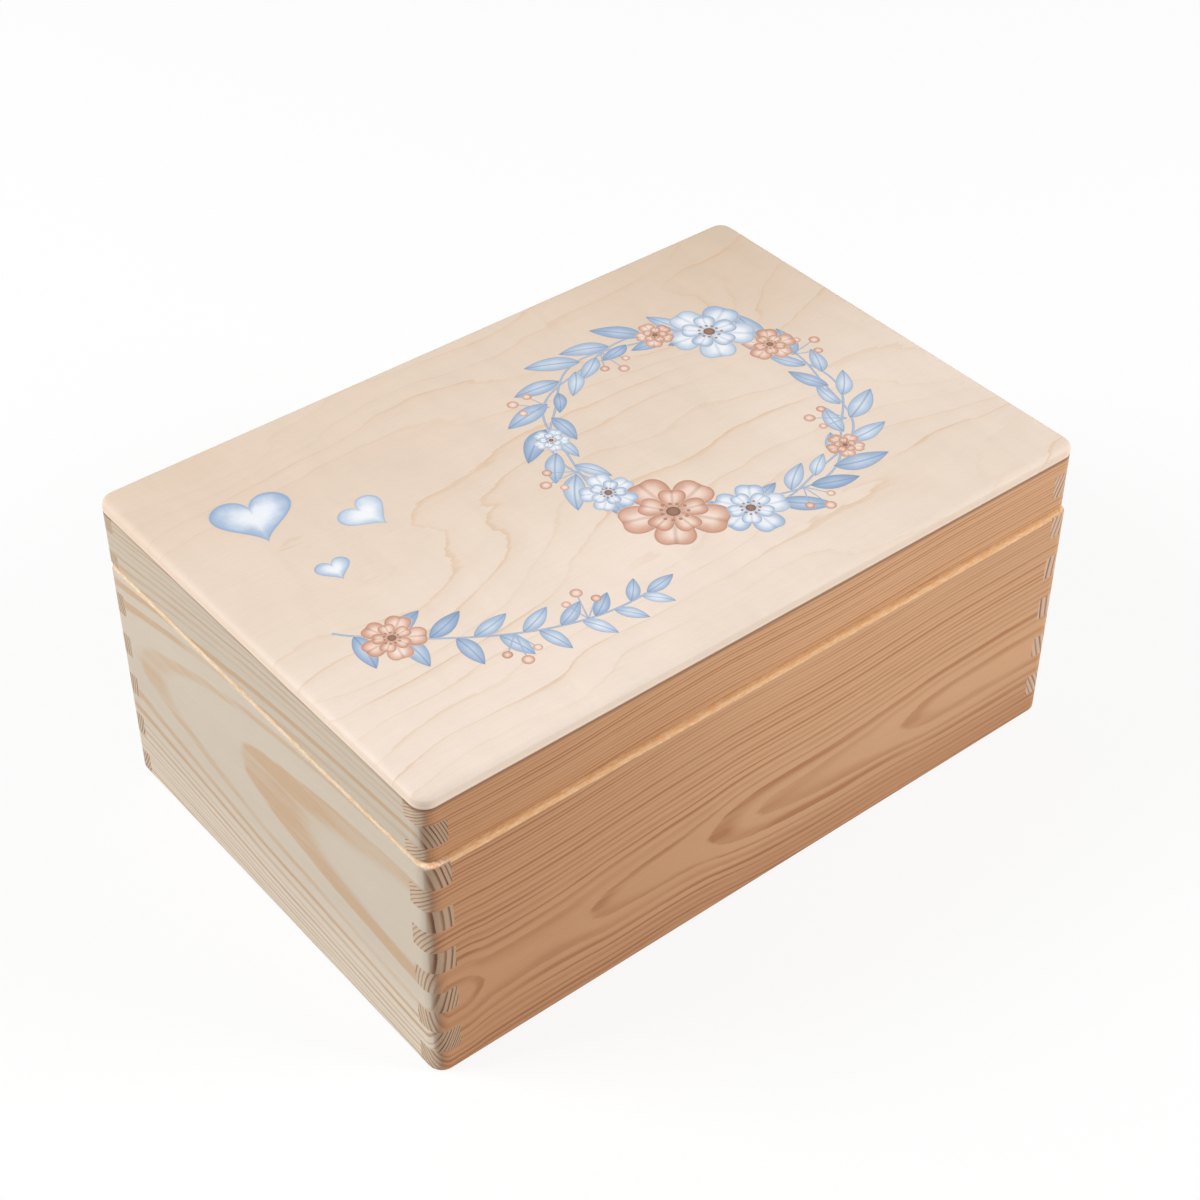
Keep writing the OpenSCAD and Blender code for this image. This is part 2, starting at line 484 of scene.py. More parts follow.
def build_timber(graph: Graph, given: Wires) -> Wires:
    """Wires the inside of the solid timber effect.

    Annual rings run round a pith whose distance and height change along the
    board, so that the same rings show as flames on a face and as arcs on an
    end. Ring 0 begins at the distance Datum from the pith, and the rings grow
    narrower beyond it. All lengths are millimetres.

    Args:
        graph: The group's graph.
        given: The group's inputs by name.

    Returns:
        The group's outputs by name.
    """
    _, across, depth = graph.separate(given["Place"])
    here = graph.vector("ADD", given["Place"], graph.combine(*[given["Seed"]] * 3))
    slow = (graph.noise(here, (0.007, 0.03, 0.03), detail=1.5) - 0.5) * given["Wander"]
    ripple = (graph.noise(here, (0.03, 0.12, 0.12)) - 0.5) * given["Ripple"]
    fibre = graph.noise(here, (0.05, 2.2, 2.2), detail=3.0, roughness=0.6)
    fine = graph.noise(here, (0.3, 6.5, 6.5), roughness=0.6)

    aside = across - given["Pith Across"]
    inward = depth + given["Pith Depth"]
    radius = graph.math("SQRT", aside * aside + inward * inward) + slow + ripple
    excess = radius - given["Datum"]
    narrowed = graph.math("MAXIMUM", excess, 0.0) * given["Narrowing"] + 1.0
    rings = excess * narrowed / given["Ring Width"] + (fibre - 0.5) * given["Feather"]
    ring = graph.math("FLOOR", rings)
    within = graph.math("FRACT", rings)
    width_lot = ring.lot(RING_STRIDE, given["Width Phase"])
    force_lot = ring.lot(FORCE_STRIDE, given["Force Phase"])

    share = given["Late Share"] * width_lot.spread(0.6, 1.35)
    start = 1.0 - share
    rise = within.step(start, start + share * given["Softness"])
    fall = within.step(0.92, 1.0, 1.0, 0.0)
    tone = graph.noise(here, (0.012, 0.17, 0.17))
    force = force_lot.spread(given["Faintest"], 1.1) * tone.step(0.32, 0.66, 0.5, 1.25)
    late = rise * fall * force

    patch = graph.noise(here, (0.008, 0.035, 0.035))
    canal = graph.noise(here, (0.10, 3.6, 3.6), detail=1.0).step(0.66, 0.78)
    body = graph.mix(given["Heart"], given["Pale"], given["Heart Pale"])
    dark = graph.mix(given["Heart"], given["Dark"], given["Heart Dark"])
    face = graph.mix(graph.math("MULTIPLY", late, given["Contrast"], clamp=True), body, dark)
    for factor, low, high in ((patch, 0.94, 1.06), (fibre, 0.93, 1.07), (fine, 0.94, 1.06),
                              (canal, 1.0, 0.9)):
        face = face.varied(factor, low, high)

    pores = graph.noise(here, (1.0, 2.8, 2.8), detail=1.0)
    cut = within.step(0.46, 0.80) * fall
    end = graph.mix(cut * force_lot.spread(0.65, 1.0), given["End Pale"], given["End Dark"])
    return {"Colour": graph.mix(given["End Grain"], face, end.varied(pores, 0.9, 1.1)),
            "Height": fibre * 0.7 + fine * 0.3 + late * 0.5,
            "Roughness": late.spread(0.66, 0.52)}


def build_rim(graph: Graph, given: Wires) -> Wires:
    """Wires the inside of the sawn rim effect.

    Where the box was sawn open and its arris rounded by sanding, the wood is fresh,
    warm and a little torn. The effect lays that over a board's own colour,
    from the Height of 0 on, which is in millimetres.

    Args:
        graph: The group's graph.
        given: The group's inputs by name.

    Returns:
        The group's outputs by name.
    """
    tuft = graph.noise(given["Place"], (1.0, 3.0, 3.0), detail=3.0, roughness=0.75)
    streak = graph.noise(given["Place"], (0.32, 1.5, 1.5), detail=3.0, roughness=0.7)
    worn = (given["Height"] + tuft.spread(-0.35, 0.35)).step(-0.3, 0.3)
    fresh = graph.mix(streak.step(0.34, 0.68), given["Cream"], given["Orange"])
    colour = graph.mix(worn * given["Amount"], given["Colour"], fresh.varied(tuft, 0.80, 1.18))
    return {"Colour": colour, "Fuzz": worn * tuft}


def build_veneer(graph: Graph, given: Wires) -> Wires:
    """Wires the inside of the peeled veneer effect.

    A peeled sheet cuts the rings almost flat, so they show as a few thin
    contour lines and closed loops over a relief, much wider apart than in a
    sawn board. Each line has a sharp side and a side that fades out.

    Args:
        graph: The group's graph.
        given: The group's inputs by name.

    Returns:
        The group's outputs by name.
    """
    place = given["Place"]
    here = graph.vector("ADD", place, given["Shift"])
    hills = graph.noise(here, (0.006, 0.014, 0.01), detail=2.5, distortion=0.35)
    teeth = graph.noise(here, (0.035, 0.20, 0.1), detail=3.0, roughness=0.6)
    level = hills * given["Contours"] + given["Relief"] + teeth.spread(-0.22, 0.22)
    within = graph.math("FRACT", level)
    fall = within.step(0.972, 1.0, 1.0, 0.0)
    thin = within.step(0.86, 0.968) * fall
    soft = within.step(0.35, 0.98) * fall
    strength = graph.math("FLOOR", level).lot(RING_STRIDE, 0.0).spread(0.4, 1.0)
    fading = graph.noise(here, (0.016, 0.05, 0.05)).step(0.34, 0.62, 0.25, 1.0)
    line = (soft * 0.3 + thin * 0.7) * strength * fading

    fibre = graph.noise(place, (0.06, 1.7, 1.7), detail=3.0, roughness=0.65)
    fleck = graph.noise(place, (0.22, 3.0, 3.0), detail=1.0).step(0.6, 0.78)
    silk = graph.noise(place, (0.075, 0.022, 0.02), detail=4.0, distortion=0.9)
    wide = graph.noise(place, (0.006, 0.008, 0.008), detail=1.0)
    # Towards the back the body takes on the warm tone as painted shade of the falling light; the wide noise
    # then varies it at random.
    body = graph.mix(given["Warmth"], given["Pale"], given["Warm"])
    body = graph.mix(wide.step(0.35, 0.65, 0.0, 0.3), body, given["Warm"])
    colour = graph.mix(line * given["Contrast"], body, given["Dark"])
    for factor, low, high in ((fibre, 0.955, 1.045), (silk, 0.95, 1.05), (fleck, 1.0, 0.955)):
        colour = colour.varied(factor, low, high)
    return {"Colour": colour, "Height": fibre + fleck * -0.4, "Roughness": silk.spread(0.62, 0.52)}


def build_tarnish(graph: Graph, given: Wires) -> Wires:
    """Wires the inside of the tarnished metal effect.

    Args:
        graph: The group's graph.
        given: The group's inputs by name.

    Returns:
        The group's outputs by name.
    """
    brushed = graph.noise(given["Place"], (0.35, 14.0, 14.0))
    dull = graph.noise(given["Place"], (0.16, 0.16, 0.16)).step(0.35, 0.7)
    colour = graph.mix(dull * given["Amount"], given["Bright"], given["Dull"])
    return {"Colour": colour.varied(brushed, 0.96, 1.04), "Height": brushed,
            "Roughness": brushed.spread(-0.04, 0.04) + dull.spread(0.34, 0.42)}


def build_wash(graph: Graph, given: Wires) -> Wires:
    """Wires the inside of the printed wash effect.

    A motif is pale in its middle and gathers colour towards its outline, with
    soft clouds of pigment. Its outline fades into the wood over a fraction of
    a millimetre, and the wood's fibres show through it faintly.

    Args:
        graph: The group's graph.
        given: The group's inputs by name.

    Returns:
        The group's outputs by name.
    """
    cloud = graph.noise(given["Place"], (0.11, 0.11, 0.11), detail=4.0, roughness=0.6)
    grit = graph.noise(given["Place"], (1.8, 1.8, 1.8))
    body = (given["Inset"] + cloud.spread(-0.34, 0.34)).step(0.0, given["Spread"])
    colour = graph.mix(body, given["Rim"], given["Middle"])
    edge = given["Inset"].step(0.0, 0.16, 0.6, 0.0)
    veined = given["Vein"] * given["Beside"].step(0.0, 0.16, 0.6, 0.0)
    for line in (edge, veined):
        colour = graph.mix(line, colour, given["Outline"])
    for factor in (grit, given["Fibre"]):
        colour = colour.varied(factor, 0.96, 1.04)
    cover = given["Inset"].step(0.0, 0.05) * cloud.spread(0.88, 1.0)
    return {"Colour": graph.mix(cover, given["Wood"], colour)}


@dataclass(frozen=True)
class Effects:
    """The effects that the materials share, each built once."""

    timber: Effect = field(default_factory=lambda: Effect(
        "solid_timber", build_timber, ["Place"],
        ["Pith Across", "Pith Depth", "Datum", "Ring Width", "Narrowing", "Wander", "Ripple",
         "Feather", "Late Share", "Softness", "Faintest", "Contrast", "Seed", "Width Phase",
         "Force Phase", "Heart", "End Grain"],
        ["Pale", "Dark", "Heart Pale", "Heart Dark", "End Pale", "End Dark"],
        ["Colour", "Height", "Roughness"]))
    rim: Effect = field(default_factory=lambda: Effect(
        "sawn_rim", build_rim, ["Place"], ["Height", "Amount"], ["Colour", "Cream", "Orange"],
        ["Colour", "Fuzz"]))
    veneer: Effect = field(default_factory=lambda: Effect(
        "peeled_veneer", build_veneer, ["Place", "Shift"],
        ["Contours", "Relief", "Contrast", "Warmth"], ["Pale", "Dark", "Warm"],
        ["Colour", "Height", "Roughness"]))
    tarnish: Effect = field(default_factory=lambda: Effect(
        "tarnished_metal", build_tarnish, ["Place"], ["Amount"], ["Bright", "Dull"],
        ["Colour", "Height", "Roughness"]))
    wash: Effect = field(default_factory=lambda: Effect(
        "printed_wash", build_wash, ["Place"], ["Inset", "Beside", "Fibre", "Spread", "Vein"],
        ["Rim", "Middle", "Outline", "Wood"], ["Colour"]))


# ------------------------------------------------------------------- finishes


class Lie(Enum):
    """Which way a board lies, and on which side of the box its outer face is."""

    FRONT = "front"
    BACK = "back"
    LEFT = "left"
    RIGHT = "right"

    @property
    def long(self) -> bool:
        """Whether the board lies along the width of the box."""
        return self in (Lie.FRONT, Lie.BACK)


@dataclass(frozen=True)
class Levels:
    """Heights, in millimetres, between which a board keeps its weathered colour.

    Below sawn_below and above sawn_above it is fresh from the saw, next to
    that it is darkened by seam_shade as a painted shadow of the gap under the
    lid, and at joint the glue line under the plywood shows, with painted shade
    in its groove. The board's own colour is multiplied by shade, and that of
    the fresh wood by sawn_shade, which on the lid is painted shade on its sawn
    edge.
    """

    sawn_below: float
    sawn_above: float
    joint: float
    shade: float = 1.0
    sawn_shade: float = 1.0
    seam_shade: float = 0.0


@dataclass(frozen=True)
class Timber:
    """The timber of one side of the box, base and lid alike.

    The pith lies outside the box. Its height and its distance from the outer
    face are curves along the side, in millimetres from its left or front end,
    and so is the share of heartwood, which also has a curve up the side; on the
    left board the pale foot that this curve gives is partly a painted highlight
    of light from the floor. The pith's curves keep within across_reach and
    depth_reach. On the line under the plywood, over joint_reach to each side,
    joint_shade of the wood's own colour is left beside a dark colour that is
    glue together with painted shade in the groove, and the rounded corners take
    corner_shade of that colour as a late-wood line partly painted as shade.
    Fresh wood covers sawn_cover of a sawn ledge, and all of its outer
    sanded_reach, where sanded_gain brightens it as a painted
    highlight.
    """

    name: str
    lie: Lie
    pith_across: Curve
    pith_depth: Curve
    datum: float
    pale: Colour
    dark: Colour
    heart_pale: Colour
    heart_dark: Colour
    end_pale: Colour
    end_dark: Colour
    rim_cream: Colour
    rim_orange: Colour
    rim_end: Colour
    rim_reach: float
    heart_along: Curve
    heart_and_foot_light_across: Curve
    ring_width: float
    narrowing: float
    late_share: float
    softness: float
    faintest: float
    contrast: float
    wander: float
    ripple: float
    feather: float
    seed: float
    width_phase: float = 0.0
    force_phase: float = 0.0
    joint_shade: float = 0.4
    joint_reach: float = 1.3
    corner_shade: float = 0.3
    sawn_cover: float = 0.72
    # Reach and gain of the painted highlight on a sawn ledge near its outer face.
    sanded_reach: float = 3.0
    sanded_gain: float = 1.16
    lid_shade: float = 1.0
    across_reach: Point = (-60.0, 200.0)
    depth_reach: Point = (0.0, 200.0)
    fuzz: float = 3.0
    bump_height: float = 0.12 * MM
    bump_strength: float = 0.5

    def board_place(self, graph: Graph, place: Wire, size: Vector) -> Wire:
        """Turns a place on the box into one on the board.

        Args:
            graph: The material's graph.
            place: The place from the box's front left corner, in millimetres.
            size: The width, depth and height of the base, in millimetres.

        Returns:
            The place along the board, up it, and in from its outer face.
        """
        x, y, z = graph.separate(place)
        match self.lie:
            case Lie.FRONT:
                return graph.combine(x, z, y)
            case Lie.BACK:
                return graph.combine(x, z, size.y - y)
            case Lie.LEFT:
                return graph.combine(y, z, x)
            case Lie.RIGHT:
                return graph.combine(y, z, size.x - x)

    def grain(self, effects: Effects, graph: Graph, board: Wire, ends: Wire, length: float) -> Wires:
        """Adds the board's own grain to its material.

        Args:
            effects: The shared effects.
            graph: The material's graph.
            board: The place on the board, in millimetres.
            ends: 1 where end grain shows.
            length: The board's length, in millimetres.

        Returns:
            The outputs of the timber effect.
        """
        along, across, _ = graph.separate(board)
        span = (0.0, length)
        # Share of heartwood; on the left board the curve up the side also paints a highlight at the foot,
        # standing in for light thrown up from the floor.
        heart = graph.math("MAXIMUM", along.curve(span, self.heart_along, UNIT),
                           across.curve((0.0, BOX_HEIGHT_MM), self.heart_and_foot_light_across, UNIT))
        return effects.timber.place(
            graph, self, place=board, end_grain=ends, heart=heart,
            pith_across=along.curve(span, self.pith_across, self.across_reach),
            pith_depth=along.curve(span, self.pith_depth, self.depth_reach))

    def near_face(self, distance: Wire) -> Wire:
        """Returns 1 within sanded_reach of an outer face, where the ledge's painted highlight goes, and 0
        further in.
        """
        return distance.step(self.sanded_reach, self.sanded_reach + 1.0, 1.0, 0.0)

    def material(self, effects: Effects, corner: Vector, size: Vector,
                 levels: Levels) -> bpy.types.Material:
        """Makes the material of the boards on this side.

        Args:
            effects: The shared effects.
            corner: The base's front left corner, in metres.
            size: The width, depth and height of the base, in millimetres.
            levels: Where the wood is freshly sawn, and where it is glued.

        Returns:
            The material.
        """
        surface = Surface(self.name)
        length = size.x if self.lie.long else size.y
        board = self.board_place(surface, surface.place_from(corner), size)
        along, across, depth = surface.separate(board)
        normal = surface.separate(surface.coordinate("Normal"))
        facing = abs(normal[0 if self.lie.long else 1])
        ends = facing.step(*END_FACING)
        wood = self.grain(effects, surface, board, ends, length)

        tip = self.near_face(surface.math("MINIMUM", along, length - along))
        # Near an outer face or an end the sawn ledge takes the fresh colour in full and a painted highlight
        # that brightens it where the lid shades it.
        lit_ledge = surface.math("MAXIMUM", tip, self.near_face(depth))
        flat = abs(normal[2]).step(*LEDGE_FACING)
        cover = ends.spread(*FRESH_COVER) * flat.step(*UNIT, 1.0, lit_ledge.spread(self.sawn_cover, 1.0))
        # Gain on the fresh colour: the ledge's painted highlight, times sawn_shade, which is painted shade
        # on the lid's sawn edge.
        painted_light_gain = flat * lit_ledge * (self.sanded_gain - 1.0) * levels.sawn_shade + levels.sawn_shade
        beyond = surface.math("MAXIMUM", across - levels.sawn_above, levels.sawn_below - across)
        orange = surface.mix(surface.math("MAXIMUM", ends, tip), self.rim_orange, self.rim_end)
        rim = effects.rim.place(surface, self, place=board, height=beyond, amount=cover,
                                colour=surface.scaled(wood["Colour"], levels.shade),
                                cream=surface.scaled(self.rim_cream, painted_light_gain),
                                orange=surface.scaled(orange, painted_light_gain))

        # Dark line on the rounded upright corners: partly a late-wood line, partly painted shade where the
        # corner turns away from the light.
        start, middle, stop = CORNER_FACING
        corner_grain_and_shade = (facing.step(start, middle, 0.0, self.corner_shade)
                       * facing.step(middle, stop, 1.0, 0.0))
        # The glue line under the plywood, widened and darkened as painted shade in the groove between rail
        # and panel.
        glue_and_groove_shade = abs(across - levels.joint).step(0.3, self.joint_reach, 1.0 - self.joint_shade, 0.0)
        # Painted shadow of the gap under the lid, along the lid's sawn edge.
        painted_seam_shadow = (beyond.step(*SEAM_DARKENS, 0.0, levels.seam_shade)
                     * beyond.step(*SEAM_CLEARS, 1.0, 0.0))
        # Darkens towards the glue colour: glue under the plywood with painted shade of its groove, painted
        # shade on the rounded corners, and a painted shadow of the gap under the lid.
        glue_and_painted_shade = surface.math("MAXIMUM", surface.math("MAXIMUM", glue_and_groove_shade, corner_grain_and_shade), painted_seam_shadow)
        surface.coat(surface.mix(glue_and_painted_shade, rim["Colour"], GLUE_AND_SHADE_COLOUR), wood["Roughness"], WOOD_SPECULAR)
        return surface.emboss(wood["Height"] + rim["Fuzz"] * self.fuzz, self.bump_height,
                              self.bump_strength)


@dataclass(frozen=True)
class Knoll:
    """A long rise under a peeled sheet, whose contour lines end in points."""

    middle: Point
    reach: Point
    height: float

    def height_at(self, graph: Graph, x: Wire, y: Wire) -> Wire:
        """Works out how high the rise stands at a place.

        Args:
            graph: The material's graph.
            x: The place across the panel's width, in millimetres.
            y: The place across its depth.

        Returns:
            The height, in contour lines.
        """
        along = (x - self.middle[0]) * (1.0 / self.reach[0])
        aside = (y - self.middle[1]) * (1.0 / self.reach[1])
        ridge = graph.math("SQRT", along * along + 0.15)
        return graph.math("EXPONENT", (aside * aside + ridge) * -1.0) * self.height


@dataclass(frozen=True)
class Plywood:
    """Thin birch plywood: a peeled face, and plies that show at its edge."""

    name: str
    pale: Colour
    dark: Colour
    warm: Colour
    knolls: tuple[Knoll, ...]
    shift: tuple[float, float, float]
    ply_pale: Colour = (0.79, 0.64, 0.51)
    ply_dark: Colour = (0.72, 0.56, 0.43)
    glue: Colour = (0.55, 0.41, 0.30)
    plies: int = 3
    contours: float = 7.0
    slope: Point = (-0.006, 0.05)
    contrast: float = 0.62
    edge_share: float = 0.6
    joint_shade: float = 0.5
    fuzz: float = 2.0
    bump_height: float = 0.08 * MM
    bump_strength: float = 0.4

    def face(self, graph: Graph, effects: Effects, place: Wire, size: Vector) -> Wires:
        """Adds the peeled face of a panel to a material.

        Args:
            graph: The material's graph.
            effects: The shared effects.
            place: The place from the panel's lowest corner, in millimetres.
            size: The panel's width, depth and thickness, in millimetres.

        Returns:
            The outputs of the veneer effect.
        """
        x, y, _ = graph.separate(place)
        relief = x * self.slope[0] + y * self.slope[1]
        for knoll in self.knolls:
            relief = relief + knoll.height_at(graph, x, y)
        # Painted shade: the panel darkens and warms towards the back, most at the right, where the light
        # falls off.
        warmth = x.step(0.55 * size.x, size.x, 0.6, 1.0) * y.step(0.2 * size.y, size.y)
        return effects.veneer.place(graph, self, place=place, warmth=warmth, relief=relief)

    def material(self, effects: Effects, lowest: Vector, highest: Vector) -> bpy.types.Material:
        """Makes the material of one panel.

        Args:
            effects: The shared effects.
            lowest: The panel's lowest corner, in metres.
            highest: Its highest corner.

        Returns:
            The material.
        """
        surface = Surface(self.name)
        place = surface.place_from(lowest)
        size = (highest - lowest) * PER_MM
        face = self.face(surface, effects, place, size)
        height = surface.separate(place)[2]
        ply = height * (self.plies / size.z)
        crossed = surface.math("MODULO", surface.math("FLOOR", ply), 2.0)
        glue = surface.math("PINGPONG", ply, 0.5).step(0.0, 0.13, 1.0, 0.0)
        grain = surface.noise(place, (1.3, 1.3, 5.0), detail=3.0)
        edge = surface.mix(crossed, self.ply_pale, self.ply_dark).varied(grain, 0.93, 1.07)
        edge = surface.mix(glue * 0.5, edge, self.glue)
        side = abs(surface.separate(surface.coordinate("Normal"))[2]).step(*EDGE_FACING, 1.0, 0.0)
        clothed = surface.mix(side * self.edge_share, face["Colour"], edge)
        # Dark line at the panel's foot, where it meets the rails: glue, with painted shade in the groove.
        ply_glue_and_groove_shade = height.step(0.15, 1.0, 1.0 - self.joint_shade, 0.0)
        surface.coat(surface.mix(side * ply_glue_and_groove_shade, clothed, GLUE_AND_SHADE_COLOUR), face["Roughness"], WOOD_SPECULAR)
        return surface.emboss(face["Height"] + grain * side * self.fuzz, self.bump_height,
                              self.bump_strength)


@dataclass(frozen=True)
class Metal:
    """Lightly brushed metal with a little tarnish."""

    name: str
    bright: Colour
    dull: Colour
    amount: float
    bump_height: float = 0.006 * MM
    bump_strength: float = 0.2

    def material(self, effects: Effects) -> bpy.types.Material:
        """Makes the metal's material.

        Args:
            effects: The shared effects.

        Returns:
            The material.
        """
        surface = Surface(self.name)
        worn = effects.tarnish.place(surface, self, place=surface.place_from(Vector()))
        surface.coat(worn["Colour"], worn["Roughness"], METAL_SPECULAR, metallic=1.0)
        return surface.emboss(worn["Height"], self.bump_height, self.bump_strength)


@dataclass(frozen=True)
class Ink:
    """Printed ink in two tints: pale inside a motif, stronger at its outline."""

    name: str
    rims: tuple[Colour, Colour]
    middles: tuple[Colour, Colour]
    outline: Colour
    spread: float
    vein: float = 0.0

    def material(self, effects: Effects, wood: Plywood, lowest: Vector,
                 highest: Vector) -> bpy.types.Material:
        """Makes the ink's material, with the wood of the panel under it.

        Args:
            effects: The shared effects.
            wood: The plywood that it is printed on.
            lowest: The panel's lowest corner, in metres.
            highest: Its highest corner.

        Returns:
            The material.
        """
        surface = Surface(self.name)
        place = surface.place_from(lowest)
        face = wood.face(surface, effects, place, (highest - lowest) * PER_MM)
        inset, beside, tint = (Wire(surface, surface.add("Attribute", attribute_name=mark).outputs["Fac"])
                               for mark in MARKS)
        wash = effects.wash.place(
            surface, self, place=place, inset=inset, beside=beside, fibre=face["Height"],
            wood=face["Colour"], rim=surface.mix(tint, *self.rims), middle=surface.mix(tint, *self.middles))
        surface.coat(wash["Colour"], face["Roughness"], WOOD_SPECULAR)
        return surface.emboss(face["Height"], wood.bump_height, wood.bump_strength)


PINE_FRONT = Timber(
    "pine_front", Lie.FRONT,
    pith_across=((0, 36), (60, 36.4), (121, 38.5), (150, 37), (180, 36), (220, 37), (300, 37)),
    pith_depth=((0, 39.1), (9, 39.05), (15, 39.2), (22, 39.98), (27, 40.2), (44, 40.4), (62, 40.03),
                (74, 39.4), (90, 39.05), (121, 38.2), (134, 37.1), (150, 36.25), (175, 35.75),
                (205, 35.15), (219, 34.6), (236, 33.75), (262, 33.4), (300, 33.15)),
    datum=40.0,
    pale=(0.572, 0.326, 0.175), dark=(0.392, 0.164, 0.059),
    heart_pale=(0.430, 0.204, 0.090), heart_dark=(0.275, 0.102, 0.035),
    end_pale=(0.520, 0.400, 0.290), end_dark=(0.275, 0.140, 0.075),
    rim_cream=(0.86, 0.58, 0.34), rim_orange=(0.80, 0.43, 0.185), rim_end=(0.82, 0.57, 0.32),
    rim_reach=0.95,
    heart_along=((0, 0.75), (60, 0.5), (110, 0.3), (150, 0.1), (220, 0.0), (300, 0.0)),
    heart_and_foot_light_across=((0, 0.65), (12, 0.48), (26, 0.05), (70, 0.0), (130, 0.0)),
    ring_width=1.8, narrowing=0.004, late_share=0.66, softness=0.6, faintest=0.45, contrast=0.90,
    wander=1.1, ripple=0.55, feather=0.2, seed=3.0, width_phase=0.6, force_phase=5.0,
    joint_shade=0.2, joint_reach=1.7, lid_shade=1.03)
PINE_LEFT = Timber(
    "pine_left", Lie.LEFT,
    pith_across=((0, 67), (100, 68), (200, 66.5)),
    pith_depth=((0, 108.45), (10, 108.5), (45, 109.3), (72, 110.05), (107, 111.2), (113, 111.5),
                (118, 111.8), (130, 112.35), (168, 114.05), (189, 115.0), (200, 115.3)),
    datum=115.0,
    pale=(0.552, 0.474, 0.380), dark=(0.506, 0.342, 0.210),
    # Here heart_pale is paler than pale: the board's foot is partly other grain, partly a painted highlight
    # of light from the floor.
    heart_pale=(0.650, 0.567, 0.465), heart_dark=(0.445, 0.300, 0.190),
    end_pale=(0.430, 0.290, 0.184), end_dark=(0.135, 0.036, 0.010),
    rim_cream=(0.86, 0.74, 0.58), rim_orange=(0.80, 0.56, 0.32), rim_end=(0.76, 0.365, 0.14),
    rim_reach=0.35, joint_shade=0.7, lid_shade=0.93,
    heart_along=((0, 0.0), (100, 0.0), (200, 0.0)),
    heart_and_foot_light_across=((0, 1.0), (20, 0.6), (45, 0.0), (130, 0.0)),
    ring_width=3.3, narrowing=0.085, late_share=0.46, softness=0.4, faintest=0.6, contrast=1.0,
    wander=1.0, ripple=0.3, feather=0.10, seed=11.0, width_phase=0.0, force_phase=0.0)
PINE_BACK = Timber(
    "pine_back", Lie.BACK,
    pith_across=((0, 62), (90, 66), (180, 60), (300, 64)),
    pith_depth=((0, 92), (60, 89.5), (130, 91), (210, 87), (300, 84)),
    datum=90.0,
    pale=(0.60, 0.40, 0.24), dark=(0.44, 0.235, 0.108),
    heart_pale=(0.50, 0.295, 0.160), heart_dark=(0.355, 0.170, 0.075),
    end_pale=(0.52, 0.40, 0.29), end_dark=(0.19, 0.08, 0.034),
    rim_cream=(0.86, 0.68, 0.43), rim_orange=(0.75, 0.46, 0.22), rim_end=(0.77, 0.52, 0.28),
    rim_reach=0.8,
    heart_along=((0, 0.0), (150, 0.1), (300, 0.6)),
    heart_and_foot_light_across=((0, 0.4), (30, 0.0), (130, 0.0)),
    ring_width=1.7, narrowing=0.004, late_share=0.5, softness=0.6, faintest=0.3, contrast=0.85,
    wander=2.4, ripple=0.5, feather=0.1, seed=23.0)
PINE_RIGHT = Timber(
    "pine_right", Lie.RIGHT,
    pith_across=((0, 64), (100, 60), (200, 62)),
    pith_depth=((0, 92.4), (60, 92.8), (120, 96), (200, 99)),
    datum=96.0,
    pale=(0.61, 0.48, 0.345), dark=(0.49, 0.32, 0.178),
    heart_pale=(0.535, 0.39, 0.258), heart_dark=(0.43, 0.268, 0.142),
    end_pale=(0.590, 0.400, 0.280), end_dark=(0.235, 0.115, 0.064),
    rim_cream=(0.88, 0.64, 0.38), rim_orange=(0.81, 0.50, 0.25), rim_end=(0.84, 0.49, 0.22),
    rim_reach=0.5,
    heart_along=((0, 0.5), (100, 0.1), (200, 0.0)),
    heart_and_foot_light_across=((0, 0.2), (40, 0.0), (130, 0.0)),
    ring_width=3.7, narrowing=0.03, late_share=0.5, softness=0.5, faintest=0.4, contrast=0.9,
    wander=2.0, ripple=0.4, feather=0.1, seed=37.0)
BIRCH_LID = Plywood(
    "birch_plywood_lid", pale=(0.85, 0.72, 0.615), dark=(0.66, 0.43, 0.255), warm=(0.68, 0.535, 0.41),
    knolls=(Knoll((60, 88), (75, 40), 5.0), Knoll((235, 150), (34, 26), 4.2),
            Knoll((318, 62), (42, 34), 5.0), Knoll((90, 196), (90, 24), 3.0)),
    shift=(40.0, 13.0, 0.0))
BIRCH_BOTTOM = Plywood(
    "birch_plywood_bottom", pale=(0.83, 0.685, 0.55), dark=(0.66, 0.45, 0.28), warm=(0.76, 0.59, 0.44),
    knolls=(Knoll((150, 90), (110, 46), 5.0),), shift=(400.0, 90.0, 0.0))
BLUE_LEAF = Ink(
    "ink_blue_leaf", rims=((0.205, 0.330, 0.520), (0.420, 0.540, 0.700)),
    middles=((0.400, 0.520, 0.690), (0.740, 0.810, 0.890)), outline=(0.125, 0.225, 0.400),
    spread=0.9, vein=1.0)
BLUE_PETAL = Ink(
    "ink_blue_petal", rims=((0.330, 0.460, 0.650), (0.480, 0.600, 0.750)),
    middles=((0.830, 0.870, 0.925), (0.880, 0.905, 0.940)), outline=(0.165, 0.285, 0.480),
    spread=0.75, vein=0.5)
PEACH_PETAL = Ink(
    "ink_peach_petal", rims=((0.540, 0.250, 0.165), (0.640, 0.345, 0.240)),
    middles=((0.860, 0.640, 0.520), (0.900, 0.750, 0.660)), outline=(0.330, 0.130, 0.085),
    spread=0.85, vein=0.6)
BROWN_DOT = Ink(
    "ink_brown_dot", rims=((0.170, 0.070, 0.043), (0.250, 0.110, 0.066)),
    middles=((0.300, 0.150, 0.095), (0.450, 0.250, 0.170)), outline=(0.090, 0.038, 0.026), spread=0.7)
BRASS = Metal("hinge_brass", bright=(0.66, 0.48, 0.235), dull=(0.47, 0.33, 0.155), amount=0.45)
STEEL = Metal("pin_steel", bright=(0.60, 0.60, 0.60), dull=(0.36, 0.35, 0.33), amount=0.4)
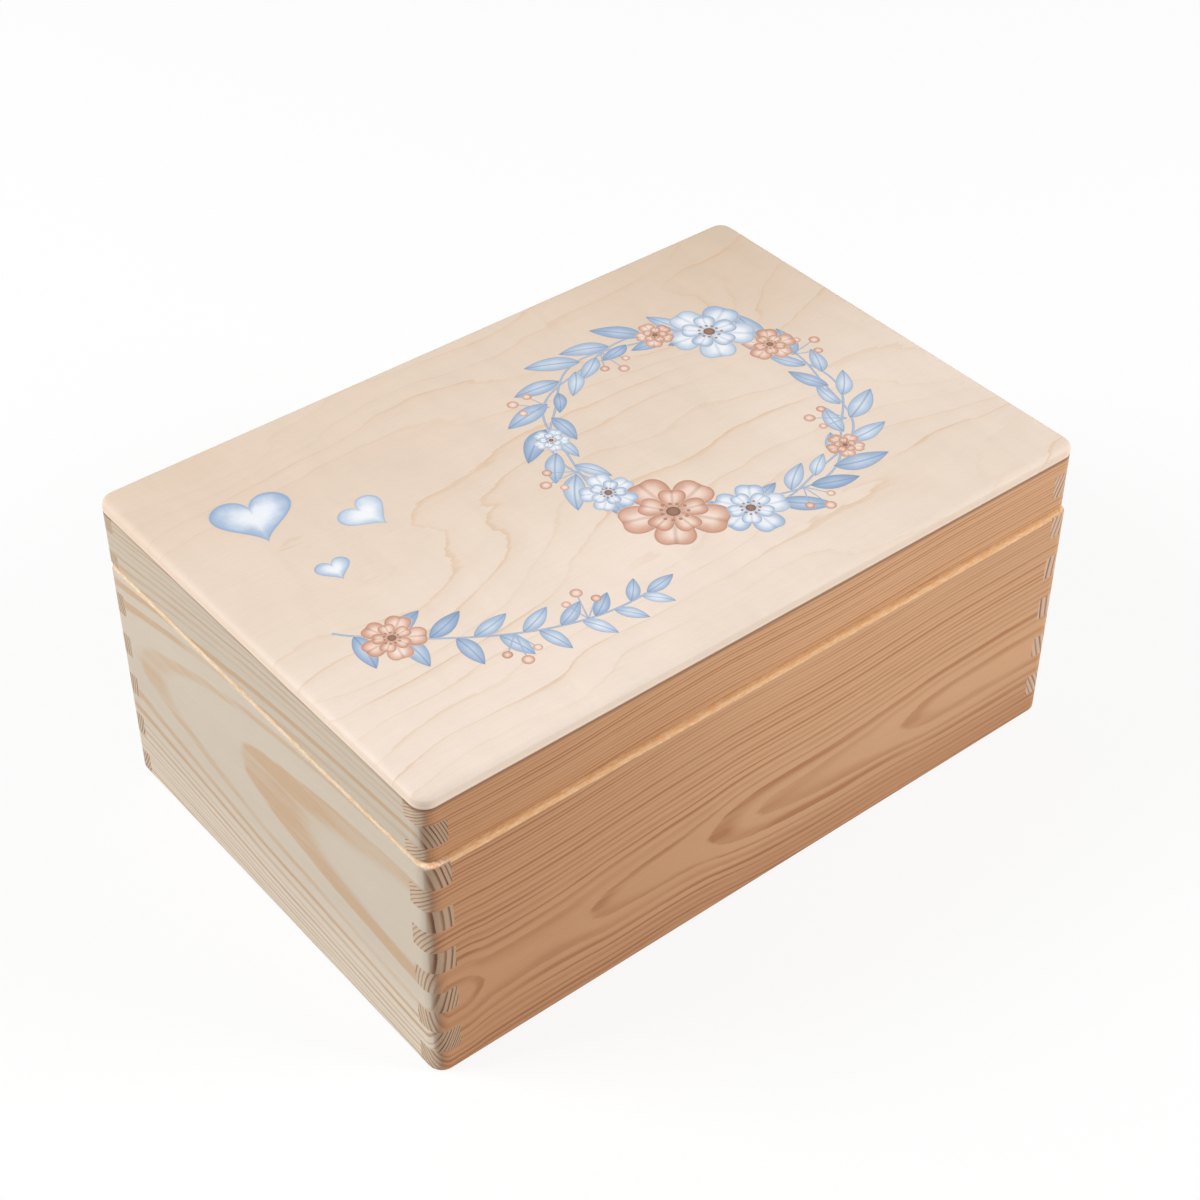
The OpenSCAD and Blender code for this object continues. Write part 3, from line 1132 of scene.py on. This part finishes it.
TIMBERS = (PINE_FRONT, PINE_BACK, PINE_LEFT, PINE_RIGHT)


# --------------------------------------------------------------- sub-assemblies


ARRIS_SEGMENTS = 2
SHARP_DEGREES = 50.0


def wear_finish(node: str, material: bpy.types.Material, arris: float = 0.0) -> None:
    """Puts a material on a CAD node and eases its arrises.

    Args:
        node: The node's name.
        material: Its material.
        arris: How far the round at a sharp edge reaches on each face, in
            metres. At 0 the edges stay as they are.
    """
    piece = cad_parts[node]
    piece.data.materials.clear()
    piece.data.materials.append(material)
    if arris:
        bevel = piece.modifiers.new("eased_arrises", "BEVEL")
        bevel.width = arris
        bevel.segments = ARRIS_SEGMENTS
        bevel.limit_method = "ANGLE"
        bevel.angle_limit = math.radians(SHARP_DEGREES)
    log.info("%s: %s", node, material.name)


@dataclass
class Base:
    """The open box: four jointed boards and the bottom panel in their groove."""

    arris: float = 0.16 * MM

    def __post_init__(self) -> None:
        """Reads the base's corner and its size, in millimetres, from the frame."""
        self.corner = corners(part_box("base_left_board"))[0]
        self.size = (corners(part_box("base_right_board"))[1] - self.corner) * PER_MM

    def dress(self, effects: Effects) -> None:
        """Gives the boards and the bottom their finishes, and eases the boards' arrises.

        Args:
            effects: The shared effects.
        """
        for timber in TIMBERS:
            levels = Levels(-NOWHERE_MM, self.size.z - timber.rim_reach, NOWHERE_MM)
            material = timber.material(effects, self.corner, self.size, levels)
            wear_finish(f"base_{timber.lie.value}_board", material, self.arris)
        lowest, highest = corners(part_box("base_bottom_panel"))
        wear_finish("base_bottom_panel", BIRCH_BOTTOM.material(effects, lowest, highest))


@dataclass
class Lid:
    """The lid's frame of rails and its plywood top."""

    base: Base
    arris: float = 0.16 * MM
    sawn_reach: float = 0.12
    # sawn_shade darkens the fresh wood along the lid's sawn edge as painted shade.
    sawn_shade: float = 0.85
    # seam_shade is the strength of the painted shadow of the gap along the lid's sawn edge.
    seam_shade: float = 0.4

    def dress(self, effects: Effects) -> None:
        """Gives the rails and the top their finishes and eased arrises.

        Args:
            effects: The shared effects.
        """
        sawn, joint = ((corner.z - self.base.corner.z) * PER_MM
                       for corner in corners(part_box("lid_front_rail")))
        for timber in TIMBERS:
            levels = Levels(sawn + self.sawn_reach, NOWHERE_MM, joint, timber.lid_shade,
                            self.sawn_shade, self.seam_shade)
            material = timber.material(effects, self.base.corner, self.base.size, levels)
            wear_finish(f"lid_{timber.lie.value}_rail", material, self.arris)
        lowest, highest = corners(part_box("lid_top_panel"))
        wear_finish("lid_top_panel", BIRCH_LID.material(effects, lowest, highest), self.arris)


@dataclass(frozen=True)
class Shape:
    """The outline of a printed motif, in millimetres along it and across it."""

    outline: tuple[Point, ...]
    middle: Point
    half_width: float
    veined: bool = False
    bend: float = 0.0

    @classmethod
    def leaf(cls, length: float, width: float, bend: float) -> "Shape":
        """Draws a leaf that is pointed at both ends.

        Args:
            length: From its stalk to its tip.
            width: Where it is widest.
            bend: How far its tip is bent aside, as a share of its length.

        Returns:
            The leaf's shape.
        """
        steps = 14
        side = [(k / steps * length, 0.5 * width * (4 * k / steps * (1 - k / steps)) ** 0.9
                 * (1.2 - 0.4 * k / steps)) for k in range(steps + 1)]
        back = [(u, -v) for u, v in side[-2:0:-1]]
        return cls(tuple(side + back), (0.45 * length, 0.0), 0.5 * width, True, bend / length)

    @classmethod
    def petal(cls, length: float, width: float, notch: float) -> "Shape":
        """Draws a petal with a narrow foot and a notched round end.

        Args:
            length: From the blossom's middle to the end.
            width: Where it is widest.
            notch: Depth of the notch.

        Returns:
            The petal's shape.
        """
        steps = 40
        outline = []
        for k in range(steps):
            turn = math.tau * k / steps
            share = 0.5 - 0.5 * math.cos(turn)
            dent = notch * math.exp(-(math.sin(turn) / 0.32) ** 2) if share > 0.5 else 0.0
            across = 0.6 * width * math.sin(turn) * (0.25 + 0.75 * share ** 0.8)
            outline.append((length * share - dent, across))
        return cls(tuple(outline), (0.62 * length, 0.0), 0.5 * width, True)

    @classmethod
    def heart(cls, width: float) -> "Shape":
        """Draws a heart.

        Args:
            width: Its width.

        Returns:
            The heart's shape. It points along, with its tip at the back.
        """
        steps = 56
        scale = width / 32
        outline = []
        for k in range(steps):
            turn = math.tau * k / steps
            up = (13 * math.cos(turn) - 5 * math.cos(2 * turn) - 2 * math.cos(3 * turn)
                  - math.cos(4 * turn))
            outline.append((scale * up, scale * 16 * math.sin(turn) ** 3))
        return cls(tuple(outline), (-1.5 * scale, 0.0), 0.5 * width)

    @classmethod
    def disc(cls, radius: float) -> "Shape":
        """Draws a disc of that radius."""
        steps = 20
        middle = (0.0, 0.0)
        return cls(tuple(polar(middle, radius, math.tau * k / steps) for k in range(steps)), middle, radius)


@dataclass
class Film:
    """Motifs in one ink, as one mesh of very thin closed plates on the lid.

    The lowest layer of motifs stands over the lid by lift, and each further
    one by rise more. All of them reach down into it by sunk. These are
    millimetres. The insets are shares of the way in from a motif's outline to
    its middle.
    """

    name: str
    ink: Ink
    corner: Vector
    lift: float = 0.02
    rise: float = 0.003
    sunk: float = 0.02
    insets: tuple[float, ...] = (0.0, 0.05, 0.16, 0.35, 0.6, 0.82)
    vertices: list[tuple[float, float, float]] = field(default_factory=list)
    faces: list[tuple[int, ...]] = field(default_factory=list)
    marks: dict[str, list[float]] = field(default_factory=lambda: {mark: [] for mark in MARKS})

    def add_vertex(self, x: float, y: float, z: float, inset: float, beside: float,
                   tint: float) -> int:
        """Adds a vertex.

        Args:
            x: Its place across the lid's width, in millimetres.
            y: Its place across the lid's depth.
            z: Its height over the lid.
            inset: How far in from the outline it lies, from 0 to 1.
            beside: How far from the motif's midrib it lies, from 0 to 1.
            tint: 0 for the ink's first tint, 1 for its second.

        Returns:
            The vertex's number.
        """
        self.vertices.append(tuple(self.corner + Vector((x, y, z)) * MM))
        for mark, value in zip(MARKS, (inset, beside, tint)):
            self.marks[mark].append(value)
        return len(self.vertices) - 1

    def add(self, shape: Shape, at: Point, turn: float, layer: int, tint: float) -> None:
        """Adds one motif.

        Args:
            shape: Its outline.
            at: Where its own origin lies on the lid, in millimetres.
            turn: The direction that it points in, in radians from the width.
            layer: A motif with a higher layer lies over one with a lower one.
            tint: 0 for the ink's first tint, 1 for its second.
        """
        top = self.lift + layer * self.rise
        cos, sin = math.cos(turn), math.sin(turn)
        mid_u, mid_v = shape.middle

        def put(u: float, v: float, z: float, inset: float) -> int:
            """Adds the vertex at a place on the motif and returns its number."""
            beside = abs(v) / shape.half_width if shape.veined else 1.0
            bent = v + shape.bend * u * u
            return self.add_vertex(at[0] + u * cos - bent * sin, at[1] + u * sin + bent * cos, z,
                                   inset, beside, tint)

        outer = [put(u, v, -self.sunk, 0.0) for u, v in shape.outline]
        self.faces.append(tuple(reversed(outer)))
        for inset in self.insets:
            inner = [put(mid_u + (u - mid_u) * (1 - inset), mid_v + (v - mid_v) * (1 - inset), top, inset)
                     for u, v in shape.outline]
            self.bridge(outer, inner)
            outer = inner
        peak = put(mid_u, mid_v, top, 1.0)
        for k, first in enumerate(outer):
            self.faces.append((first, outer[(k + 1) % len(outer)], peak))

    def add_stem(self, path: Sequence[Point], width: float, layer: int, closed: bool = False) -> None:
        """Adds a thin stem along a path.

        Args:
            path: Points on the lid, in millimetres.
            width: The stem's width.
            layer: Its layer among the motifs.
            closed: Whether the last point is joined to the first.
        """
        top = self.lift + layer * self.rise
        section = ((-1, top, 0.0), (-0.5, top, 0.5), (0, top, 1.0), (0.5, top, 0.5), (1, top, 0.0),
                   (1, -self.sunk, 0.0), (-1, -self.sunk, 0.0))
        count = len(path)
        loops = []
        for k, (x, y) in enumerate(path):
            before = path[k - 1] if closed or k > 0 else path[k]
            after = path[(k + 1) % count] if closed or k < count - 1 else path[k]
            ahead = Vector((after[0] - before[0], after[1] - before[1])).normalized()
            loops.append([self.add_vertex(x - ahead.y * side * width / 2, y + ahead.x * side * width / 2,
                                          z, inset, 1.0, 0.0) for side, z, inset in section])
        for first, second in zip(loops, loops[1:] + loops[:1] if closed else loops[1:]):
            self.bridge(first, second)
        if not closed:
            self.faces.append(tuple(loops[0]))
            self.faces.append(tuple(reversed(loops[-1])))

    def bridge(self, outer: Sequence[int], inner: Sequence[int]) -> None:
        """Joins two loops of as many vertices with a band of faces.

        Args:
            outer: The numbers of the first loop's vertices.
            inner: Those of the second loop.
        """
        for k in range(len(outer)):
            after = (k + 1) % len(outer)
            self.faces.append((outer[k], outer[after], inner[after], inner[k]))

    def print(self, effects: Effects, lowest: Vector, highest: Vector) -> None:
        """Makes the film's object, which rides on the lid.

        Args:
            effects: The shared effects.
            lowest: The lid panel's lowest corner, in metres.
            highest: Its highest corner.
        """
        mesh = bpy.data.meshes.new(self.name)
        mesh.from_pydata(self.vertices, [], self.faces)
        for mark, values in self.marks.items():
            mesh.attributes.new(mark, "FLOAT", "POINT").data.foreach_set("value", values)
        form = bmesh.new()
        form.from_mesh(mesh)
        bmesh.ops.recalc_face_normals(form, faces=form.faces)
        form.to_mesh(mesh)
        form.free()
        mesh.materials.append(self.ink.material(effects, BIRCH_LID, lowest, highest))
        piece = add_object(self.name, mesh)
        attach(piece, "lid")
        log.info("%s: %s, %d faces", self.name, self.ink.name, len(self.faces))


@dataclass
class LidPrint:
    """The picture printed on the lid: a wreath, three hearts and a sprig.

    All places are millimetres from the lid's front left corner. A heart is
    given by its place, width, lean and tint. A motif's layer says which others
    it lies over.
    """

    wreath_middle: Point = (200.0, 100.0)
    wreath_radius: float = 56.0
    twist: float = 2.3
    turns: int = 6
    leaves: int = 46
    stem_width: float = 0.9
    hearts: tuple[tuple[float, ...], ...] = (
        (38.0, 154.0, 31.0, -0.22, 0.0), (70.0, 131.0, 20.0, 0.28, 1.0), (44.0, 112.0, 13.5, -0.1, 0.3))
    sprig_foot: Point = (24.0, 84.0)
    sprig_length: float = 96.0
    sprig_drop: float = 58.0
    sprig_rise: float = 8.0
    sprig_leaves: int = 15
    stalk_width: float = 0.5
    leaf_layer: int = 2
    stalk_layer: int = 8
    berry_layer: int = 12
    petal_layer: int = 13
    dot_layer: int = 23
    seed: int = 7

    def __post_init__(self) -> None:
        """Reads the panel's box and starts a film for each ink."""
        self.lowest, self.highest = corners(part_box("lid_top_panel"))
        corner = Vector((self.lowest.x, self.lowest.y, self.highest.z))
        self.leaf_film = Film("lid_print_leaves", BLUE_LEAF, corner)
        self.blue_film = Film("lid_print_blue_blossoms", BLUE_PETAL, corner)
        self.peach_film = Film("lid_print_peach_blossoms", PEACH_PETAL, corner)
        self.dot_film = Film("lid_print_dots", BROWN_DOT, corner)
        self.draw = random.Random(self.seed)

    def build(self, effects: Effects) -> None:
        """Draws the whole picture and prints its films.

        Args:
            effects: The shared effects.
        """
        self.draw_wreath()
        self.draw_hearts()
        self.draw_sprig()
        for film in (self.leaf_film, self.blue_film, self.peach_film, self.dot_film):
            film.print(effects, self.lowest, self.highest)

    def on_wreath(self, angle: float, offset: float) -> Point:
        """Returns the place at an angle of the wreath, an offset further out than its ring."""
        return polar(self.wreath_middle, self.wreath_radius + offset, angle)

    def draw_wreath(self) -> None:
        """Draws the ring of twisted stems with its leaves, berries and blossoms."""
        steps = 180
        for layer, side in enumerate((-1, 1)):
            angles = [math.tau * k / steps for k in range(steps)]
            path = [self.on_wreath(a, side * self.twist * math.sin(self.turns * a)) for a in angles]
            self.leaf_film.add_stem(path, self.stem_width, layer, closed=True)
        for k in range(self.leaves):
            angle = math.tau * (k + self.draw.uniform(-0.2, 0.2)) / self.leaves
            side = 1 if k % 2 else -1
            lean = side * self.draw.uniform(0.5, 0.85)
            length = self.draw.uniform(16, 23) if side > 0 else self.draw.uniform(13, 18)
            self.leaf_film.add(Shape.leaf(length, 0.40 * length, side * self.draw.uniform(0.05, 0.22)),
                               self.on_wreath(angle, side), angle + math.pi / 2 - lean,
                               self.leaf_layer + k % 5,
                               self.draw.uniform(0, 1))
        berries = (0.15, 1.6, 2.35, 3.1, 4.75, 5.6)
        for angle in berries:
            towards = angle + self.draw.choice((0, math.pi))
            self.draw_berries(self.on_wreath(angle, 0.0), towards)
        blossoms = ((self.peach_film, 3.85, 21.0, 0.3), (self.blue_film, 4.34, 15.0, 0.9),
                    (self.blue_film, 3.40, 11.5, 0.1), (self.blue_film, 0.78, 18.5, 0.5),
                    (self.peach_film, 0.34, 11.0, 1.0), (self.peach_film, 1.16, 8.5, 0.2),
                    (self.blue_film, 2.72, 7.5, 0.6), (self.peach_film, 5.30, 7.5, 0.4))
        for film, angle, radius, turn in blossoms:
            self.draw_blossom(film, self.on_wreath(angle, 0.08 * radius), radius, turn)

    def draw_blossom(self, film: Film, at: Point, radius: float, turn: float) -> None:
        """Draws a blossom of two rows of five petals with dots in its middle.

        Args:
            film: The film of its ink.
            at: Its middle.
            radius: Its radius.
            turn: The direction of its first petal, in radians.
        """
        petals, dots = 5, 11
        rows = ((1.0, 0.0, 1.0), (0.62, math.pi / petals, 0.4))
        for row, (reach, start, palest) in enumerate(rows):
            for k in range(petals):
                length = radius * reach * self.draw.uniform(0.95, 1.05)
                film.add(Shape.petal(length, 0.86 * length, 0.07 * length), at,
                         turn + start + math.tau * k / petals, self.petal_layer + petals * row + k,
                         self.draw.uniform(0, palest))
        self.dot_film.add(Shape.disc(0.13 * radius), at, 0.0, self.dot_layer + 1, 0.0)
        for k in range(dots):
            place = polar(at, radius * self.draw.uniform(0.20, 0.27), math.tau * k / dots)
            self.dot_film.add(Shape.disc(0.028 * radius + 0.12), place, 0.0, self.dot_layer, 1.0)

    def draw_berries(self, at: Point, towards: float) -> None:
        """Draws three berries on short stalks.

        Args:
            at: Where their stalks meet.
            towards: The direction that they hang in, in radians.
        """
        berries = ((-0.55, 11.0, 1.9), (0.0, 14.0, 2.3), (0.5, 10.5, 1.7))
        for k, (aside, reach, radius) in enumerate(berries):
            end = polar(at, reach, towards + aside)
            self.leaf_film.add_stem((at, end), self.stalk_width, self.stalk_layer + k)
            self.peach_film.add(Shape.disc(radius), end, 0.0, self.berry_layer, 0.5 * k)

    def draw_hearts(self) -> None:
        """Draws the three hearts."""
        for x, y, width, lean, tint in self.hearts:
            self.blue_film.add(Shape.heart(width), (x, y), math.pi / 2 + lean, self.leaf_layer, tint)

    def draw_sprig(self) -> None:
        """Draws the sprig that curves over the lid's left front."""
        steps = 40
        path = []
        for k in range(steps + 1):
            share = k / steps
            drop = self.sprig_drop * math.sin(0.5 * math.pi * share) ** 0.9
            path.append((self.sprig_foot[0] + self.sprig_length * share,
                         self.sprig_foot[1] - drop + self.sprig_rise * share))
        self.leaf_film.add_stem(path, self.stem_width, 0)
        for k in range(self.sprig_leaves):
            share = (k + 0.7) / self.sprig_leaves
            at = path[min(steps - 1, round(share * steps))]
            after = path[min(steps, round(share * steps) + 1)]
            ahead = math.atan2(after[1] - at[1], after[0] - at[0])
            side = 1 if k % 2 else -1
            length = 19.0 - 7.0 * share
            self.leaf_film.add(Shape.leaf(length, 0.42 * length, side * 0.15), at,
                               ahead + side * self.draw.uniform(0.6, 0.85), 1 + k % 5,
                               self.draw.uniform(0, 1))
        self.leaf_film.add(Shape.leaf(14.0, 5.6, 0.05), path[-1], 0.1, 3, 0.4)
        self.draw_blossom(self.peach_film, path[6], 12.0, 0.7)
        self.draw_berries(path[20], -1.9)
        self.draw_berries(path[30], 1.2)


@dataclass
class Hinge:
    """One butt hinge: two leaves, a pin and the screws of each leaf."""

    side: str
    arris: float = 0.12 * MM

    def dress(self, brass: bpy.types.Material, steel: bpy.types.Material) -> None:
        """Gives the hinge's parts their metals and eased arrises.

        Args:
            brass: The material of its leaves and screws.
            steel: That of its pin.
        """
        for part, metal in (("base_leaf", brass), ("lid_leaf", brass), ("base_screws", brass),
                            ("lid_screws", brass), ("pin", steel)):
            wear_finish(f"{self.side}_hinge_{part}", metal, self.arris)


# --------------------------------------------------------------------- studio


@dataclass(frozen=True)
class Lamp:
    """A square soft lamp, its place and size in metres and its power in watts."""

    name: str
    place: tuple[float, float, float]
    power: float
    size: float = 1.0

    def hang(self, towards: Vector) -> None:
        """Hangs the lamp in the scene.

        Args:
            towards: The place that it looks at, in metres.
        """
        lamp = bpy.data.lights.new(self.name, "AREA")
        lamp.size = self.size
        lamp.energy = self.power
        holder = add_object(self.name, lamp)
        holder.location = self.place
        holder.rotation_euler = (towards - Vector(self.place)).to_track_quat("-Z", "Y").to_euler()


@dataclass
class Studio:
    """The floor, the lamps, the surroundings and the camera."""

    azimuth: float = math.radians(-39.145)
    elevation: float = math.radians(40.518)
    roll: float = math.radians(0.222)
    camera_place: tuple[float, float, float] = (-0.437752, -0.543277, 0.663586)
    focal_px: float = 2400.401
    picture_px: float = 1200.0
    sensor_mm: float = 36.0
    floor_half: float = 6.0
    floor_colour: Colour = (0.93, 0.93, 0.93)
    floor_roughness: float = 0.9
    floor_whiteness: float = 0.85
    ambient: float = 0.32
    lit_place: tuple[float, float, float] = (0.0, 0.0, 0.07)
    lamps: tuple[Lamp, ...] = (Lamp("left_lamp", (-1.35, 0.85, 1.25), 30.0),
                               Lamp("right_lamp", (1.3, -1.4, 1.1), 31.5))

    def build(self) -> None:
        """Builds the whole studio."""
        self.build_floor()
        self.build_world()
        for lamp in self.lamps:
            lamp.hang(Vector(self.lit_place))
        self.build_camera()

    def build_floor(self) -> None:
        """Lays a wide pale floor, which shows white where no shadow falls."""
        half = self.floor_half
        mesh = bpy.data.meshes.new("floor")
        mesh.from_pydata([(-half, -half, 0), (half, -half, 0), (half, half, 0), (-half, half, 0)],
                         [], [(0, 1, 2, 3)])
        surface = Surface("floor")
        surface.coat(self.floor_colour, self.floor_roughness, specular=0.0)
        surface.show(surface.made("MixShader", surface.seen() * self.floor_whiteness,
                                  Wire(surface, surface.shader.outputs[0]), surface.made("Emission")))
        mesh.materials.append(surface.material)
        floor = add_object("floor", mesh)

    def build_world(self) -> None:
        """Fills the surroundings with even white light, and shows them white."""
        world = bpy.data.worlds.new("studio")
        world.use_nodes = True
        world.node_tree.nodes.clear()
        graph = Graph(world.node_tree)
        ambient = graph.made("Background", WHITE, self.ambient)
        shown = graph.made("Background", WHITE, 1.0)
        output = graph.add("OutputWorld")
        graph.feed(output.inputs["Surface"], graph.made("MixShader", graph.seen(), ambient, shown))
        bpy.context.scene.world = world

    def build_camera(self) -> None:
        """Sets the camera up where the photograph was taken from."""
        flat = math.cos(self.elevation)
        ahead = Vector((-math.sin(self.azimuth) * flat, math.cos(self.azimuth) * flat,
                        -math.sin(self.elevation)))
        right = ahead.cross(Vector((0, 0, 1))).normalized()
        up = right.cross(ahead)
        turn_right = math.cos(self.roll) * right + math.sin(self.roll) * up
        turn_up = math.cos(self.roll) * up - math.sin(self.roll) * right
        data = bpy.data.cameras.new("camera")
        data.sensor_width = self.sensor_mm
        data.lens = self.focal_px * self.sensor_mm / self.picture_px
        camera = add_object("camera", data)
        matrix = Matrix((turn_right, turn_up, -ahead)).transposed().to_4x4()
        matrix.translation = Vector(self.camera_place)
        camera.matrix_world = matrix
        bpy.context.scene.camera = camera


def main() -> None:
    """Builds the studio and dresses the box, part by part."""
    logging.basicConfig(level=logging.INFO, format="%(name)s: %(message)s")
    bpy.context.scene.view_settings.view_transform = "Standard"
    Studio().build()
    effects = Effects()
    base = Base()
    base.dress(effects)
    Lid(base).dress(effects)
    LidPrint().build(effects)
    brass = BRASS.material(effects)
    steel = STEEL.material(effects)
    for side in ("left", "right"):
        Hinge(side).dress(brass, steel)


if __name__ == "__main__":
    main()
